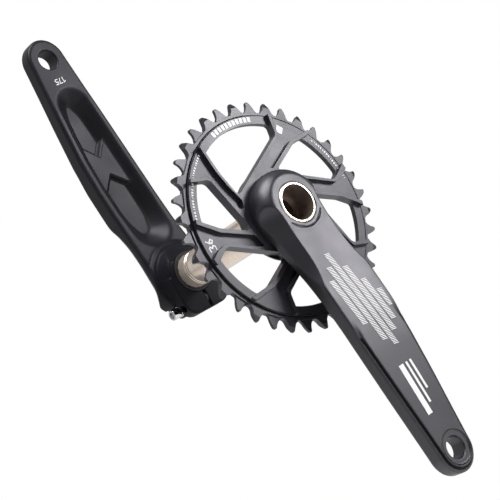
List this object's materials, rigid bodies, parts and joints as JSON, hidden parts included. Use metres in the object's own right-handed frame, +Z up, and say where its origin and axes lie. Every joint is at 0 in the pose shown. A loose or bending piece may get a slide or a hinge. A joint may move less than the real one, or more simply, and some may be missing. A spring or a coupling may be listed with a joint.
{
  "type": "bicycle_crankset",
  "caption": "Direct-mount narrow-wide bicycle crankset: two forged alloy arms, hollow spindle and a single open-spoked chainring, left arm held by pinch bolts",
  "frame": {"origin": "on the spindle axis at the middle plane of the bottom bracket", "axes": "+X forward on the bicycle, +Y towards the rider's left along the spindle axis, +Z up; drive-side arm points down at rest and the left arm up"},
  "size_m": [0.153, 0.1707, 0.3824],
  "materials": {
    "arm_black": "satin black anodised, bead blasted",
    "ring_grey": "dark grey anodised, milled",
    "spindle_champagne": "champagne plated steel",
    "bolt_chrome": "bright plated",
    "bolt_steel": "dark zinc plated",
    "seal_rubber": "matte",
    "plastic_black": "moulded"
  },
  "bodies": {
    "drive_side": {"right_crank_arm": "arm_black", "spindle": "spindle_champagne", "chainring": "ring_grey", "chainring_bolts": "bolt_steel", "right_dust_seal": "seal_rubber"},
    "left_side": {"left_crank_arm": "arm_black", "left_dust_seal": "seal_rubber"},
    "rear_bolt_carrier": {"pinch_washer_rear": "bolt_chrome"},
    "rear_bolt": {"pinch_bolt_rear": "bolt_chrome"},
    "front_bolt_carrier": {"pinch_washer_front": "bolt_chrome"},
    "front_bolt": {"pinch_bolt_front": "bolt_chrome"},
    "cap_carrier": {"preload_cap_seal": "seal_rubber"},
    "cap": {"preload_cap": "plastic_black"},
    "stopper": {"stopper_plate": "plastic_black"}
  },
  "joints": [
    {"name": "left_arm_slide", "type": "slide", "parent": "drive_side", "child": "left_side", "axis": [0, 1, 0], "range_m": [0, 0.12]},
    {"name": "rear_bolt_slide", "type": "slide", "parent": "left_side", "child": "rear_bolt_carrier", "axis": [-1, 0, 0], "range_m": [0, 0.00239]},
    {"name": "rear_bolt_turn", "type": "hinge", "parent": "rear_bolt_carrier", "child": "rear_bolt", "pos_m": [-0.02, 0.064, -0.0194], "axis": [-1, 0, 0], "range_deg": [0, 1080]},
    {"name": "front_bolt_slide", "type": "slide", "parent": "left_side", "child": "front_bolt_carrier", "axis": [1, 0, 0], "range_m": [0, 0.00239]},
    {"name": "front_bolt_turn", "type": "hinge", "parent": "front_bolt_carrier", "child": "front_bolt", "pos_m": [0.02, 0.0556, -0.0194], "axis": [1, 0, 0], "range_deg": [0, 1080]},
    {"name": "cap_slide", "type": "slide", "parent": "left_side", "child": "cap_carrier", "axis": [0, 1, 0], "range_m": [0, 0.003]},
    {"name": "cap_turn", "type": "hinge", "parent": "cap_carrier", "child": "cap", "pos_m": [0, 0.073, 0], "axis": [0, 1, 0], "range_deg": [0, 1080]},
    {"name": "stopper_swing", "type": "hinge", "parent": "left_side", "child": "stopper", "pos_m": [0, 0.0556, -0.0194], "axis": [1, 0, 0], "range_deg": [0, 12]}
  ],
  "couplings": [
    {"joint": "rear_bolt_turn", "follows": "rear_bolt_slide", "rad_per_m": 7854},
    {"joint": "front_bolt_turn", "follows": "front_bolt_slide", "rad_per_m": 7854},
    {"joint": "cap_slide", "follows": "cap_turn", "m_per_rad": 0.00015915}
  ]
}
